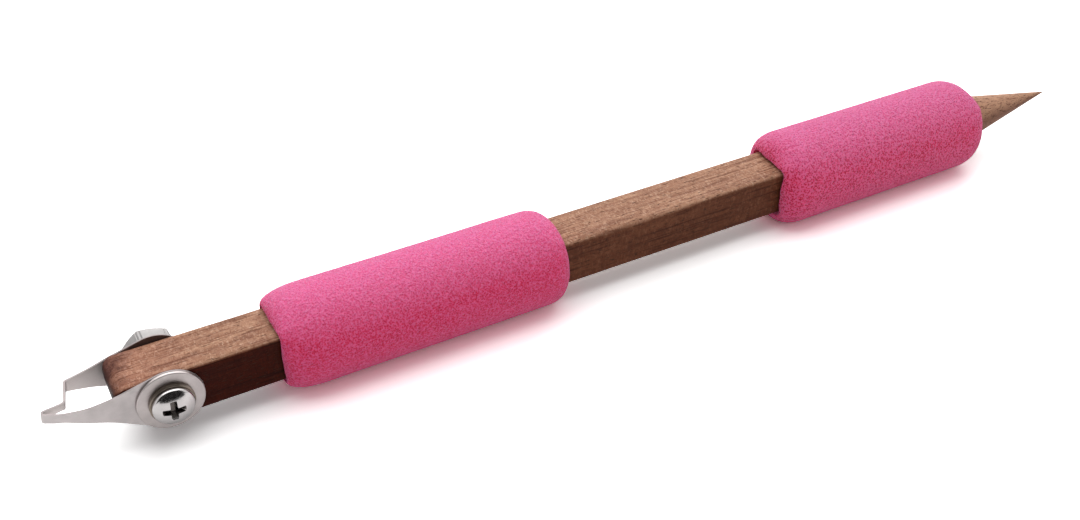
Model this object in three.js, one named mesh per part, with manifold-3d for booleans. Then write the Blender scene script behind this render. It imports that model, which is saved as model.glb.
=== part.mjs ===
// V-tip carving tool: a square wooden handle with a sharpened point at one end, two foam
// grips, and a bent steel blade that one screw and nut clamp across the other end.
// Millimetres. X runs along the tool from the blade (-X) to the wooden point (+X), Y runs
// along the clamp screw from its head (-Y) to its nut (+Y), and Z is up. The tool lies on
// its grips. The origin is under the middle of the tool, level with what it lies on.
import * as THREE from "three";
import { mergeVertices } from "three/addons/utils/BufferGeometryUtils.js";
import Module from "manifold-3d";

const wasm = await Module();
wasm.setup();

// Handle. Reaches are measured along the handle from the axis of the clamp screw.
const handleSide = 8.0;
const handleEdgeRound = 0.9;
const noseReach = 7.1;
const noseTopRound = 2.0;
const noseBottomRound = 5.0;
const noseSideRound = 1.2;
const pointReach = 170.1;
const pointHalfAngle = THREE.MathUtils.degToRad(10.7);
const pointEndRadius = 0.12;

// Foam grips. Each end is rounded over its own length. A skew tilts the front mouth, so that
// it starts sooner on the -Y side. A setback holds a mouth back at the corners of the wood.
const frontGrip = {
  start: 15.95,
  length: 46.35,
  radius: 7.75,
  frontRound: 5.6,
  rearRound: 3.8,
  frontSkew: 0,
  frontSetback: 0.1,
  rearSetback: 0.4,
};
const rearGrip = {
  start: 104.1,
  length: 44.4,
  radius: 8.15,
  frontRound: 4.3,
  rearRound: 4.3,
  frontSkew: 0.45,
  frontSetback: 0.15,
  rearSetback: 0.3,
};
const gripFlatDepth = 0.2;
const gripClearance = 0.25;
const gripMouthFlare = 0.35;
const gripMouthDepth = 0.8;

// Blade, one bent strip. Its reaches are measured along its own centre line.
const bladeThickness = 0.3;
const lugRadius = 4.75;
const bladeTilt = THREE.MathUtils.degToRad(8.5);
const tipReach = 16.25;
const tipSide = -2.5;
const valleyReach = 13.1;
const valleySide = -1.05;
const farCornerReach = 12.4;
const farCornerSide = 3.0;
const nearBendReach = 9.6;
const farBendReach = 6.8;
const cornerBendRadius = 0.45;
const tipBendRadius = 0.22;
const nearBendRadius = 9;
const farBendRadius = 3;
const taperSlope = Math.atan(0.42);
const taperStraightReach = 6.6;
const taperControlReach = 9.0;
const neckReach = 13.8;
const neckHalfHeight = 0.73;
const tipHalfHeight = 0.76;

// Clamp hardware
const faceGap = 0.04;
const screwRadius = 1.75;
const screwLength = 13.5;
const screwEndChamfer = 0.35;
const headRadius = 2.95;
const headHeight = 1.6;
const headSideHeight = 0.6;
const headRimEase = 0.15;
const headCrownPower = 0.7;
const recessSpan = 4.05;
const recessWingWidth = 0.95;
const recessFloorScale = 0.55;
const recessDepth = 1.25;
const recessOffset = 0.2;
const recessTurn = THREE.MathUtils.degToRad(4.5);
const screwHoleClearance = 0.15;
const flatWasherRadius = 4.72;
const flatWasherHoleRadius = 1.98;
const flatWasherThickness = 0.45;
const washerEase = 0.1;
const lockWasherRadius = 3.17;
const lockWasherHoleRadius = 1.82;
const lockWasherThickness = 0.7;
const lockWasherSplit = 0.5;
const nutAcrossFlats = 7.3;
const nutThickness = 3.1;
const nutBoreClearance = 0.06;
const nutFaceEase = 0.1;
const nutChamferAngle = THREE.MathUtils.degToRad(30);
const nutCornerAngle = THREE.MathUtils.degToRad(45);

// Facet counts
const roundSegments = 48;
const holeSegments = 32;
const flatSegments = 9;
const cornerSegments = 3;
const bendSegments = 5;
const crownSegments = 8;
const noseSteps = 12;
const gripEndSteps = 6;
const coneSteps = 8;

// Places worked out from the sizes above
const halfSide = handleSide / 2;
const bladeFront = tipReach * Math.cos(bladeTilt) + tipHalfHeight * Math.sin(bladeTilt);
const stationShift = -(pointReach - bladeFront) / 2;
const restHeight = Math.min(frontGrip.radius, rearGrip.radius) - gripFlatDepth;
const legFace = halfSide + faceGap;
const nutFace = legFace + bladeThickness + faceGap;
const flatWasherFace = nutFace;
const lockWasherFace = flatWasherFace + flatWasherThickness + faceGap;
const headFace = lockWasherFace + lockWasherThickness + faceGap;
const throughHoleRadius = screwRadius + screwHoleClearance;
const cutMargin = 1;
const weldDistance = 1e-5;

// Materials
const walnut = new THREE.MeshStandardMaterial({ color: 0xa27058, roughness: 0.75, metalness: 0 });
const foam = new THREE.MeshStandardMaterial({ color: 0xd04a7c, roughness: 0.95, metalness: 0 });
const bladeSteel = new THREE.MeshStandardMaterial({ color: 0xc2bbb9, roughness: 0.35, metalness: 1 });
const washerSteel = new THREE.MeshStandardMaterial({ color: 0xbdb5b2, roughness: 0.3, metalness: 1 });
const screwSteel = new THREE.MeshStandardMaterial({ color: 0xcbc6c3, roughness: 0.2, metalness: 1 });

function toSolid(geometry) {
  const bare = geometry.clone();
  bare.deleteAttribute("normal");
  bare.deleteAttribute("uv");
  const merged = mergeVertices(bare, weldDistance);
  const vertProperties = new Float32Array(merged.attributes.position.array);
  const triVerts = new Uint32Array(merged.index.array);
  return new wasm.Manifold(new wasm.Mesh({ numProp: 3, vertProperties, triVerts }));
}

function toGeometry(solid) {
  const mesh = solid.getMesh();
  const geometry = new THREE.BufferGeometry();
  geometry.setAttribute("position", new THREE.BufferAttribute(mesh.vertProperties, 3));
  geometry.setIndex(new THREE.BufferAttribute(mesh.triVerts, 1));
  geometry.computeVertexNormals();
  return geometry;
}

// A cylinder along Y between two heights, which may differ in radius.
function cylinderAlongY(radiusLow, radiusHigh, low, high, segments) {
  const geometry = new THREE.CylinderGeometry(radiusHigh, radiusLow, high - low, segments);
  geometry.translate(0, (low + high) / 2, 0);
  return geometry;
}

// Distance from the centre of a rounded square to its edge, along a direction.
function roundedReach(angle, half, corner) {
  const c = Math.abs(Math.cos(angle));
  const s = Math.abs(Math.sin(angle));
  const inner = half - corner;
  const flat = half / Math.max(c, s);
  if (flat * Math.min(c, s) <= inner) return flat;
  const along = inner * (c + s);
  return along + Math.sqrt(along * along - 2 * inner * inner + corner * corner);
}

// Directions round the handle's axis, close together at the corners of the square.
function ringAngles() {
  const flatEnd = Math.atan((halfSide - handleEdgeRound) / halfSide);
  const angles = [];
  for (let side = 0; side < 4; side++) {
    const middle = (Math.PI / 2) * side;
    for (let i = 0; i < flatSegments; i++) {
      angles.push(middle - flatEnd + (2 * flatEnd * i) / flatSegments);
    }
    for (let i = 0; i < cornerSegments; i++) {
      angles.push(middle + flatEnd + ((Math.PI / 2 - 2 * flatEnd) * i) / cornerSegments);
    }
  }
  return angles;
}

const directions = ringAngles();

// Joins rings into a skin. An open run of rings gets a flat cap at each end, and a closed
// run, such as an outer skin that turns back through a bore, joins its last ring to its first.
function skin(rings, closed) {
  const count = directions.length;
  const positions = rings.flat(2);
  const faces = [];
  const last = closed ? rings.length : rings.length - 1;
  for (let k = 0; k < last; k++) {
    const here = k * count;
    const next = ((k + 1) % rings.length) * count;
    for (let i = 0; i < count; i++) {
      const j = (i + 1) % count;
      faces.push(here + i, here + j, next + j);
      faces.push(here + i, next + j, next + i);
    }
  }
  if (!closed) {
    for (const [k, flip] of [[0, true], [rings.length - 1, false]]) {
      const centre = positions.length / 3;
      const mean = [0, 1, 2].map((axis) => rings[k].reduce((sum, p) => sum + p[axis], 0) / count);
      positions.push(...mean);
      for (let i = 0; i < count; i++) {
        const j = (i + 1) % count;
        const a = k * count + i;
        const b = k * count + j;
        if (flip) faces.push(centre, b, a);
        else faces.push(centre, a, b);
      }
    }
  }
  const geometry = new THREE.BufferGeometry();
  geometry.setAttribute("position", new THREE.Float32BufferAttribute(positions, 3));
  geometry.setIndex(faces);
  return geometry;
}

// How far a rounding of the given radius has drawn in, at a depth from the end.
function drawIn(depth, radius) {
  if (depth >= radius) return 0;
  return radius - Math.sqrt(radius * radius - (radius - depth) ** 2);
}

// The handle's outline at one place: a square with eased edges that draws in towards the
// rounded nose, cut by a cone towards the point.
function handleSection(x) {
  const depth = x + noseReach;
  const top = halfSide - drawIn(depth, noseTopRound);
  const bottom = -halfSide + drawIn(depth, noseBottomRound);
  const halfWidth = halfSide - drawIn(depth, noseSideRound);
  const middle = (top + bottom) / 2;
  const widthScale = halfWidth / halfSide;
  const heightScale = (top - bottom) / handleSide;
  const coneRadius = pointEndRadius + (pointReach - x) * Math.tan(pointHalfAngle);
  return directions.map((angle) => {
    const reach = Math.min(roundedReach(angle, halfSide, handleEdgeRound), coneRadius);
    return [x, reach * Math.cos(angle) * widthScale, middle + reach * Math.sin(angle) * heightScale];
  });
}

function handleStations() {
  const stations = [];
  for (let i = 0; i <= noseSteps; i++) {
    const turn = (Math.PI / 2) * (i / noseSteps);
    stations.push(-noseReach + noseBottomRound * (1 - Math.cos(turn)));
  }
  const cornerRadius = roundedReach(Math.PI / 4, halfSide, handleEdgeRound);
  const coneStart = pointReach - (cornerRadius - pointEndRadius) / Math.tan(pointHalfAngle);
  const coneFull = pointReach - (halfSide - pointEndRadius) / Math.tan(pointHalfAngle);
  for (let i = 0; i <= coneSteps; i++) {
    stations.push(coneStart + ((coneFull - coneStart) * i) / coneSteps);
  }
  stations.push(pointReach);
  return stations;
}

function handleGeometry() {
  const wood = toSolid(skin(handleStations().map(handleSection), false));
  const reach = halfSide + cutMargin;
  const hole = cylinderAlongY(throughHoleRadius, throughHoleRadius, -reach, reach, holeSegments);
  return toGeometry(wood.subtract(toSolid(hole)));
}

// A foam sleeve with rounded ends, a square bore that hugs the handle, slightly flared
// mouths, and a narrow flat underneath where the tool lies on it.
function gripGeometry(grip) {
  const boreReach = (angle, flare) => {
    const grow = gripClearance + flare;
    return roundedReach(angle, halfSide + grow, handleEdgeRound + grow);
  };
  const mouthFlat = boreReach(0, gripMouthFlare);
  const mouthCorner = boreReach(Math.PI / 4, gripMouthFlare);
  const mouthDepth = (angle, atRear) => {
    const share = (boreReach(angle, gripMouthFlare) - mouthFlat) / (mouthCorner - mouthFlat);
    if (atRear) return grip.rearSetback * share;
    return grip.frontSetback * share + grip.frontSkew * Math.cos(angle);
  };
  const place = (depth, atRear) => (atRear ? grip.length - depth : depth);
  const endRing = (swing, atRear) => directions.map((angle) => {
    const mouth = boreReach(angle, gripMouthFlare);
    const reach = mouth + (grip.radius - mouth) * Math.sin(swing);
    const start = mouthDepth(angle, atRear);
    const round = atRear ? grip.rearRound : grip.frontRound;
    const x = place(start + (round - start) * (1 - Math.cos(swing)), atRear);
    return [x, reach * Math.cos(angle), Math.max(reach * Math.sin(angle), -restHeight)];
  });
  const boreRing = (atRear) => directions.map((angle) => {
    const reach = boreReach(angle, 0);
    const x = place(gripMouthDepth + mouthDepth(angle, atRear), atRear);
    return [x, reach * Math.cos(angle), reach * Math.sin(angle)];
  });
  const rings = [];
  for (let k = 0; k <= gripEndSteps; k++) {
    rings.push(endRing((Math.PI / 2) * (k / gripEndSteps), false));
  }
  for (let k = gripEndSteps; k >= 0; k--) {
    rings.push(endRing((Math.PI / 2) * (k / gripEndSteps), true));
  }
  rings.push(boreRing(true));
  rings.push(boreRing(false));
  return skin(rings, true);
}

// The blade's centre line in plan, with a small arc at each bend, offset to both sides.
function stripOutline() {
  const side = legFace + bladeThickness / 2;
  const back = lugRadius + cutMargin;
  const foldAngle = Math.atan2(side + tipSide, tipReach - nearBendReach)
    + Math.atan2(valleySide - tipSide, tipReach - valleyReach);
  const foldPull = tipBendRadius / Math.sin(foldAngle / 2) - tipBendRadius - bladeThickness / 2;
  const corners = [
    [back, -side],
    [-nearBendReach, -side],
    [-tipReach - foldPull, tipSide],
    [-valleyReach, valleySide],
    [-farCornerReach + bladeThickness / 2, farCornerSide],
    [-farBendReach, side],
    [back, side],
  ].map(([x, y]) => new THREE.Vector2(x, y));
  const radii = [
    0, nearBendRadius, tipBendRadius, cornerBendRadius, cornerBendRadius, farBendRadius, 0,
  ];
  const centre = [corners[0]];
  for (let i = 1; i < corners.length - 1; i++) {
    const before = corners[i].clone().sub(corners[i - 1]).normalize();
    const after = corners[i + 1].clone().sub(corners[i]).normalize();
    const turn = before.angleTo(after);
    const bend = radii[i];
    const reach = bend * Math.tan(turn / 2);
    const from = corners[i].clone().addScaledVector(before, -reach);
    const hand = Math.sign(before.cross(after));
    const hub = from.clone().addScaledVector(new THREE.Vector2(-before.y, before.x), hand * bend);
    const spoke = from.clone().sub(hub);
    for (let k = 0; k <= bendSegments; k++) {
      const swing = (hand * turn * k) / bendSegments;
      centre.push(spoke.clone().rotateAround(new THREE.Vector2(), swing).add(hub));
    }
  }
  centre.push(corners[corners.length - 1]);
  const left = [];
  const right = [];
  centre.forEach((point, i) => {
    const before = centre[Math.max(i - 1, 0)];
    const after = centre[Math.min(i + 1, centre.length - 1)];
    const heading = after.clone().sub(before).normalize();
    const normal = new THREE.Vector2(-heading.y, heading.x).multiplyScalar(bladeThickness / 2);
    left.push(point.clone().add(normal));
    right.push(point.clone().sub(normal));
  });
  return new THREE.Shape(left.concat(right.reverse()));
}

// The blade's outline from the side: a round lug that tapers to a narrow strip.
function sideProfile() {
  const shape = new THREE.Shape();
  const startX = -lugRadius * Math.sin(taperSlope);
  const startZ = lugRadius * Math.cos(taperSlope);
  const straightZ = startZ - (taperStraightReach + startX) * Math.tan(taperSlope);
  const controlZ = straightZ - (taperControlReach - taperStraightReach) * Math.tan(taperSlope);
  const frontX = -tipReach - cutMargin;
  const turn = Math.PI / 2 + taperSlope;
  shape.moveTo(startX, -startZ);
  shape.absarc(0, 0, lugRadius, -turn, turn, false);
  shape.lineTo(-taperStraightReach, straightZ);
  shape.quadraticCurveTo(-taperControlReach, controlZ, -neckReach, neckHalfHeight);
  shape.lineTo(frontX, tipHalfHeight);
  shape.lineTo(frontX, -tipHalfHeight);
  shape.lineTo(-neckReach, -neckHalfHeight);
  shape.quadraticCurveTo(-taperControlReach, -controlZ, -taperStraightReach, -straightZ);
  shape.lineTo(startX, -startZ);
  return shape;
}

function bladeGeometry() {
  const tall = 2 * (lugRadius + cutMargin);
  const wide = 2 * (legFace + bladeThickness + cutMargin);
  const strip = new THREE.ExtrudeGeometry(stripOutline(), { depth: tall, bevelEnabled: false });
  strip.translate(0, 0, -tall / 2);
  const side = new THREE.ExtrudeGeometry(sideProfile(), {
    depth: wide, bevelEnabled: false, curveSegments: roundSegments / 4,
  });
  side.translate(0, 0, -wide / 2);
  side.rotateX(Math.PI / 2);
  const reach = wide / 2;
  const hole = cylinderAlongY(throughHoleRadius, throughHoleRadius, -reach, reach, holeSegments);
  return toGeometry(toSolid(strip).intersect(toSolid(side)).subtract(toSolid(hole)));
}

// A turned profile about Y. Points are [radius, height].
function turned(points, segments) {
  return new THREE.LatheGeometry(points.map(([r, y]) => new THREE.Vector2(r, y)), segments);
}

// A flat ring about Y that rests on height zero.
function washerGeometry(radius, holeRadius, thickness) {
  return turned([
    [holeRadius, 0],
    [radius - washerEase, 0],
    [radius, washerEase],
    [radius, thickness - washerEase],
    [radius - washerEase, thickness],
    [holeRadius, thickness],
    [holeRadius, 0],
  ], roundSegments);
}

// A ring with one cut through its lowest side.
function lockWasherGeometry() {
  const ring = washerGeometry(lockWasherRadius, lockWasherHoleRadius, lockWasherThickness);
  const cut = new THREE.BoxGeometry(lockWasherSplit, 3 * lockWasherThickness, 2 * lockWasherRadius);
  cut.translate(0, lockWasherThickness / 2, -lockWasherRadius);
  return toGeometry(toSolid(ring).subtract(toSolid(cut)));
}

// A pan head with a cross recess on a plain shank. The seat of the head is at height zero,
// the head stands towards -Y and the shank runs towards +Y.
function screwGeometry() {
  const points = [[0, -headHeight]];
  const crown = headHeight - headSideHeight;
  for (let i = 1; i <= crownSegments; i++) {
    const angle = (Math.PI / 2) * (i / crownSegments);
    points.push([
      headRadius * Math.sin(angle) ** headCrownPower,
      -headSideHeight - crown * Math.abs(Math.cos(angle)) ** headCrownPower,
    ]);
  }
  points.push([headRadius, -headRimEase]);
  points.push([headRadius - headRimEase, 0]);
  points.push([screwRadius, 0]);
  points.push([screwRadius, screwLength - screwEndChamfer]);
  points.push([screwRadius - screwEndChamfer, screwLength]);
  points.push([0, screwLength]);
  let screw = toSolid(turned(points, roundSegments));
  const tall = recessDepth + cutMargin;
  for (const turn of [recessTurn, recessTurn + Math.PI / 2]) {
    const wing = new THREE.CylinderGeometry(recessFloorScale, 1, tall, 4, 1);
    wing.rotateY(Math.PI / 4);
    wing.scale(recessSpan / Math.SQRT2, 1, recessWingWidth / Math.SQRT2);
    wing.rotateY(turn);
    wing.translate(-recessOffset, recessDepth - headHeight - tall / 2, 0);
    screw = screw.subtract(toSolid(wing));
  }
  return toGeometry(screw);
}

// A hexagon nut with chamfered corners that rests on height zero.
function nutGeometry() {
  const flatRadius = nutAcrossFlats / 2;
  const cornerRadius = flatRadius / Math.cos(Math.PI / 6);
  const hex = new THREE.CylinderGeometry(cornerRadius, cornerRadius, nutThickness, 6);
  hex.translate(0, nutThickness / 2, 0);
  hex.rotateY(Math.PI / 2 - nutCornerAngle);
  const faceRadius = flatRadius - nutFaceEase;
  const outer = cornerRadius + cutMargin;
  const drop = (outer - faceRadius) * Math.tan(nutChamferAngle);
  const chamfers = turned([
    [0, 0],
    [faceRadius, 0],
    [outer, drop],
    [outer, nutThickness - drop],
    [faceRadius, nutThickness],
    [0, nutThickness],
  ], roundSegments);
  const bore = screwRadius + nutBoreClearance;
  const hole = cylinderAlongY(bore, bore, -cutMargin, nutThickness + cutMargin, holeSegments);
  return toGeometry(toSolid(hex).intersect(toSolid(chamfers)).subtract(toSolid(hole)));
}

function piece(name, geometry, material, x = 0, y = 0) {
  const mesh = new THREE.Mesh(geometry, material);
  mesh.name = name;
  mesh.position.set(x, y, 0);
  return mesh;
}

const tool = new THREE.Group();
tool.position.set(stationShift, 0, restHeight);
tool.add(piece("handle", handleGeometry(), walnut));
tool.add(piece("front_grip", gripGeometry(frontGrip), foam, frontGrip.start));
tool.add(piece("rear_grip", gripGeometry(rearGrip), foam, rearGrip.start));

const blade = piece("blade", bladeGeometry(), bladeSteel);
blade.rotation.y = bladeTilt;
tool.add(blade);

const washer = washerGeometry(flatWasherRadius, flatWasherHoleRadius, flatWasherThickness);
const flatWasherSeat = -flatWasherFace - flatWasherThickness;
const lockWasherSeat = -lockWasherFace - lockWasherThickness;
tool.add(piece("flat_washer", washer, washerSteel, 0, flatWasherSeat));
tool.add(piece("lock_washer", lockWasherGeometry(), washerSteel, 0, lockWasherSeat));
tool.add(piece("clamp_screw", screwGeometry(), screwSteel, 0, -headFace));
tool.add(piece("clamp_nut", nutGeometry(), screwSteel, 0, nutFace));

export default tool;
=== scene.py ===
"""V-tip carving tool: the dressed pieces, their materials, and a plain studio around them.

Sizes are in millimetres in the tool's own axes: X from the blade (-) to the wooden point (+),
Y from the screw head (-) to the nut (+), Z up, with the origin on the axis of the clamp screw.
row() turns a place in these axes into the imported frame's metres.
"""
import math

import bmesh
import bpy
from mathutils import Euler, Matrix, Vector, noise


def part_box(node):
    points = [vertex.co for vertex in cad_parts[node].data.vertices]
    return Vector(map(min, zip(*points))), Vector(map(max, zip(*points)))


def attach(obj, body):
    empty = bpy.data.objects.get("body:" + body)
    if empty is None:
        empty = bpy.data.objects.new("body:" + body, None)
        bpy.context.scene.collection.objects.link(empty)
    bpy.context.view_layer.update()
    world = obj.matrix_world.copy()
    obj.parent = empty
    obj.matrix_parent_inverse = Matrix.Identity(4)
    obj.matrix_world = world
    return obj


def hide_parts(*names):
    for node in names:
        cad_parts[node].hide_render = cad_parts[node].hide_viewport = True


MM = 0.001
TURN = 2 * math.pi
QUARTER = math.pi / 2

# Handle
HANDLE_SIDE = 8.0
HANDLE_EDGE_ROUND = 0.6
NOSE_REACH = 7.1
NOSE_TOP_ROUND = 2.0
NOSE_BOTTOM_ROUND = 5.0
NOSE_SIDE_ROUND = 1.2
POINT_REACH = 170.1
POINT_HALF_ANGLE = math.radians(10.7)
POINT_END_RADIUS = 0.12
POINT_FINE_LENGTH = 30
RIDGE_BLEND = 0.06
SCREW_HOLE_RADIUS = 1.9
CUTTER_OVERHANG = 1

# Wear of the handle's near top edge, which begins and ends between two places along it
WORN_EDGE_ROUND = 1.3
WORN_EDGE_BEGIN = (64.0, 73.0)
WORN_EDGE_END = (78.0, 92.0)
WORN_EDGE_TURN = math.radians(135)
WORN_EDGE_SPREAD = (0.80, 0.98)
WORN_EDGE_WAVES_PER_MM = 0.22
WORN_EDGE_SEED = 4.0

# Slight waves of the wood's faces
WOOD_WAVE = 0.035
WOOD_WAVE_BEGIN = (5, 12)
WOOD_WAVES_PER_MM = 0.12
WOOD_WAVES_AROUND = 1.5

# Foam grips. Each end is rounded over its own length, and the mouths follow the square wood.
FRONT_GRIP = {
    "start": 15.95, "length": 46.35, "radius": 7.75, "front_round": 5.6, "rear_round": 3.8,
    "front_skew": 0.0, "front_setback": 0.1, "rear_setback": 0.4,
    "mouth_ripple": 0.10, "seed": 3.0,
}
REAR_GRIP = {
    "start": 104.1, "length": 44.4, "radius": 8.15, "front_round": 4.3, "rear_round": 4.3,
    "front_skew": 0.45, "front_setback": 0.15, "rear_setback": 0.3,
    "mouth_ripple": 0.22, "seed": 11.0,
}
GRIP_CLEARANCE = 0.2
GRIP_MOUTH_FLARE = 0.35
GRIP_MOUTH_DEPTH = 0.9
GRIP_MOUTH_WAVES = 2.2
GRIP_SWELL = 0.05
GRIP_SWELLS_PER_MM = 0.11
GRIP_GRAIN = 0.020
GRIP_LUMPS_PER_MM = 1.0
GRIP_CELLS_PER_MM = 1.9
GRIP_LUMP_SHARE = 0.7

# Blade
BLADE_THICKNESS = 0.3
BLADE_EDGE_EASE = 0.035
LUG_RADIUS = 4.75
BLADE_TILT = math.radians(8.5)
TIP_REACH = 16.6
TIP_SIDE = -2.5
VALLEY_REACH = 13.2
VALLEY_SIDE = -1.05
FAR_CORNER_REACH = 12.55
FAR_CORNER_SIDE = 3.0
NEAR_BEND_REACH = 11.0
NEAR_BOW_REACH = 14.8
NEAR_BOW_SIDE = -3.35
FAR_BEND_REACH = 6.8
CORNER_BEND_RADIUS = 0.45
TIP_BEND_RADIUS = 0.42
NEAR_BEND_RADIUS = 9.0
NEAR_BOW_RADIUS = 3.0
FAR_BEND_RADIUS = 3.0
TAPER_SLOPE = math.atan(0.42)
TAPER_STRAIGHT_REACH = 6.6
TAPER_CONTROL_REACH = 9.0
NECK_REACH = 13.8
NECK_HALF_HEIGHT = 0.68
TIP_HALF_HEIGHT = 0.72
TIP_HEIGHT_REACH = TIP_REACH + 1
VALLEY_NARROWING = 0.2

# Clamp hardware
FACE_GAP = 0.04
SCREW_RADIUS = 1.75
SCREW_LENGTH = 13.5
SCREW_END_CHAMFER = 0.45
THREAD_PITCH = 0.79375
THREAD_DEPTH = 0.42
THREAD_ROOT_SHARE = 0.1
THREAD_FLANK_SHARE = 0.8
THREAD_START = 0.15
HEAD_RADIUS = 2.95
HEAD_HEIGHT = 1.6
HEAD_DOME_RADIUS = 4.7
HEAD_DOME_REACH = 2.6
HEAD_RIM_ROUND = 0.55
HEAD_SEAT_EASE = ((0, 0.15), (0.04, 0.05), (0.15, 0))
RECESS_SPAN = 3.45
RECESS_WING = 0.95
RECESS_CORE = 1.05
RECESS_DEPTH = 1.25
RECESS_LIP = 0.12
RECESS_CUTTER_RISE = 0.6
RECESS_TOP_SCALE = 1.12
RECESS_FLOOR_SCALE = 0.45
RECESS_LEAST_WIDTH = 0.62
RECESS_CORNER = (0.94, 0.7)
RECESS_OFFSET = 0.2
RECESS_TURN = math.radians(4.5)
FLAT_WASHER_RADIUS = 4.72
FLAT_WASHER_HOLE = 1.98
FLAT_WASHER_THICKNESS = 0.45
FLAT_WASHER_ROLL = 0.16
FLAT_WASHER_SEAT_EASE = 0.03
FLAT_WASHER_HOLE_EASE = 0.1
LOCK_WASHER_RADIUS = 3.17
LOCK_WASHER_HOLE = 1.82
LOCK_WASHER_THICKNESS = 0.7
LOCK_WASHER_EASE = 0.1
LOCK_WASHER_SPLIT = 0.5
LOCK_WASHER_SLANT = 0.35
NUT_ACROSS_FLATS = 7.3
NUT_THICKNESS = 3.1
NUT_CORNER_ROUND = 0.3
NUT_CORNER_TURNS = (-0.075, -0.05, -0.025, 0, 0.025, 0.05, 0.075)
NUT_FLAT_START = 0.11
NUT_FACE_EASE = 0.1
NUT_CHAMFER = math.radians(30)
NUT_CORNER_ANGLE = math.radians(45)
NUT_BORE_RADIUS = 1.81
NUT_BORE_CHAMFER = 0.3
NUT_BORE_SLOPE = 1.2

# Meshes: angles from which folds stay sharp, the blade's step, and what counts as one place
SMOOTH_ANGLE = math.radians(32)
BLUNT_ANGLE = math.radians(50)
BLADE_STEP = 0.35
SAME_STATION = 1e-6
CUT_TOLERANCE = 1e-5
WELD_DISTANCE = 1e-4

# Foam colours, each set from the pits to the lumps
FRONT_FOAM_COLOURS = ((0.65, 0.016, 0.058), (0.79, 0.054, 0.152), (0.89, 0.125, 0.295))
REAR_FOAM_COLOURS = ((0.61, 0.013, 0.050), (0.89, 0.055, 0.154), (1.0, 0.140, 0.315))
# Painted light: paler colours for the foam's upper side, where the light from above falls
FOAM_PAINTED_TOP_LIGHT_COLOURS = ((0.81, 0.112, 0.285), (0.89, 0.168, 0.378), (0.95, 0.230, 0.468))
FOAM_PATCH_COLOUR = (0.70, 0.05, 0.15)
FOAM_MIDDLE_TONE = 0.46
FOAM_TONE_SPREAD = 0.16
FOAM_PIT_FINENESS = 0.8

# Wood colours. A shade multiplies the colour below it.
WOOD_STREAK_COLOURS = (
    (0.28, (0.25, 0.112, 0.066)),
    (0.5, (0.40, 0.205, 0.128)),
    (0.72, (0.52, 0.295, 0.19)),
)
WOOD_PALE_FLECK = (0.66, 0.42, 0.30)
WOOD_DARK_FLECK = (0.22, 0.085, 0.048)
WOOD_SANDED_COLOUR = (0.60, 0.35, 0.225)
WOOD_MOTTLE_COLOUR = (0.25, 0.11, 0.075)
WOOD_HAIR_COLOUR = (0.15, 0.055, 0.032)
WOOD_PORE_COLOUR = (0.045, 0.018, 0.010)
# Painted shade for the wood's sides and underside, which get less light than its top
WOOD_PAINTED_SIDE_SHADE = (0.34, 0.22, 0.17)
# Painted shadow of the front grip and clamp hardware on the wood's sides
WOOD_PAINTED_FRONT_SHADOW = (0.32, 0.11, 0.06)
# The nose's darker end grain together with painted shade on its forward-facing rounding
WOOD_NOSE_GRAIN_AND_SHADE = (0.30, 0.23, 0.26)
WOOD_HANDLED_SHADE = (0.97, 0.88, 0.90)

# Places along the handle between which the wood's look changes
WOOD_POINT_PLACES = (143.0, 145.0)
WOOD_PAINTED_FRONT_SHADOW_PLACES = (14.0, 40.0)
WOOD_HANDLED_PLACES = (-4.0, 6.0)
WOOD_NOSE_GRAIN_AND_SHADE_PLACES = (-9.4, -6.0)
WOOD_NOSE_GRAIN_AND_SHADE_WANDER = 5
WOOD_NOSE_GRAIN_AND_SHADE_SLANT = 0.35

# Steel colours, and where the blade and the recess change theirs
BLADE_COLOUR = (0.52, 0.475, 0.47)
# Painted light: a paler colour for the faces inside the blade's loop
BLADE_PAINTED_LIGHT_INNER_COLOUR = (0.78, 0.715, 0.70)
BLADE_EDGE_SHADE = (0.64, 0.62, 0.62)
# Painted shade for the lugs' inner faces beside the wood
BLADE_PAINTED_SHADE_COLOUR = (0.06, 0.02, 0.011)
WASHER_COLOUR = (0.50, 0.45, 0.44)
SPRING_WASHER_COLOUR = (0.24, 0.20, 0.165)
NUT_COLOUR = (0.36, 0.345, 0.34)
SCREW_COLOUR = (0.56, 0.53, 0.525)
# Painted shade for the screw's cross recess
RECESS_PAINTED_SHADE_COLOUR = (0.05, 0.038, 0.03)
STEEL_SMUDGE_SHARE = 0.86
PAINTED_LIGHT_INNER_SIDES = (TIP_SIDE + 0.1, TIP_SIDE + 0.4)
LUG_PAINTED_SHADE_DEPTHS = (0.03, 0.09)
LUG_PAINTED_SHADE_REACHES = (LUG_RADIUS, 1.25 * LUG_RADIUS)
RECESS_SHADE_DEPTHS = (0.04, 0.35)
RECESS_SHADE_REACHES = (RECESS_SPAN / 2, RECESS_SPAN / 2 + 0.4)

# Studio. The camera and the floor are in metres, and the card is in tool millimetres.
CAMERA_PLACE = (-0.091708, -0.13607, 0.12297)
CAMERA_TURN = (math.radians(53.19), 0.0, math.radians(-28.75))
CAMERA_LENS = 40.83
SENSOR_WIDTH = 36.0
FLOOR_REACH = 1.0
FLOOR_COLOUR = (0.85, 0.85, 0.85)
FLOOR_MIRRORED_COLOUR = (1.12, 1.12, 1.12)
FLOOR_SEEN_COLOUR = (1.8, 1.8, 1.8)
WORLD_STRENGTH = 0.42
CARD_COLOUR = (0.03, 0.028, 0.028, 1)
CARD_CORNERS = ((-900, -640, 10), (700, -640, 10), (700, -420, 760), (-900, -420, 760))

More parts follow.
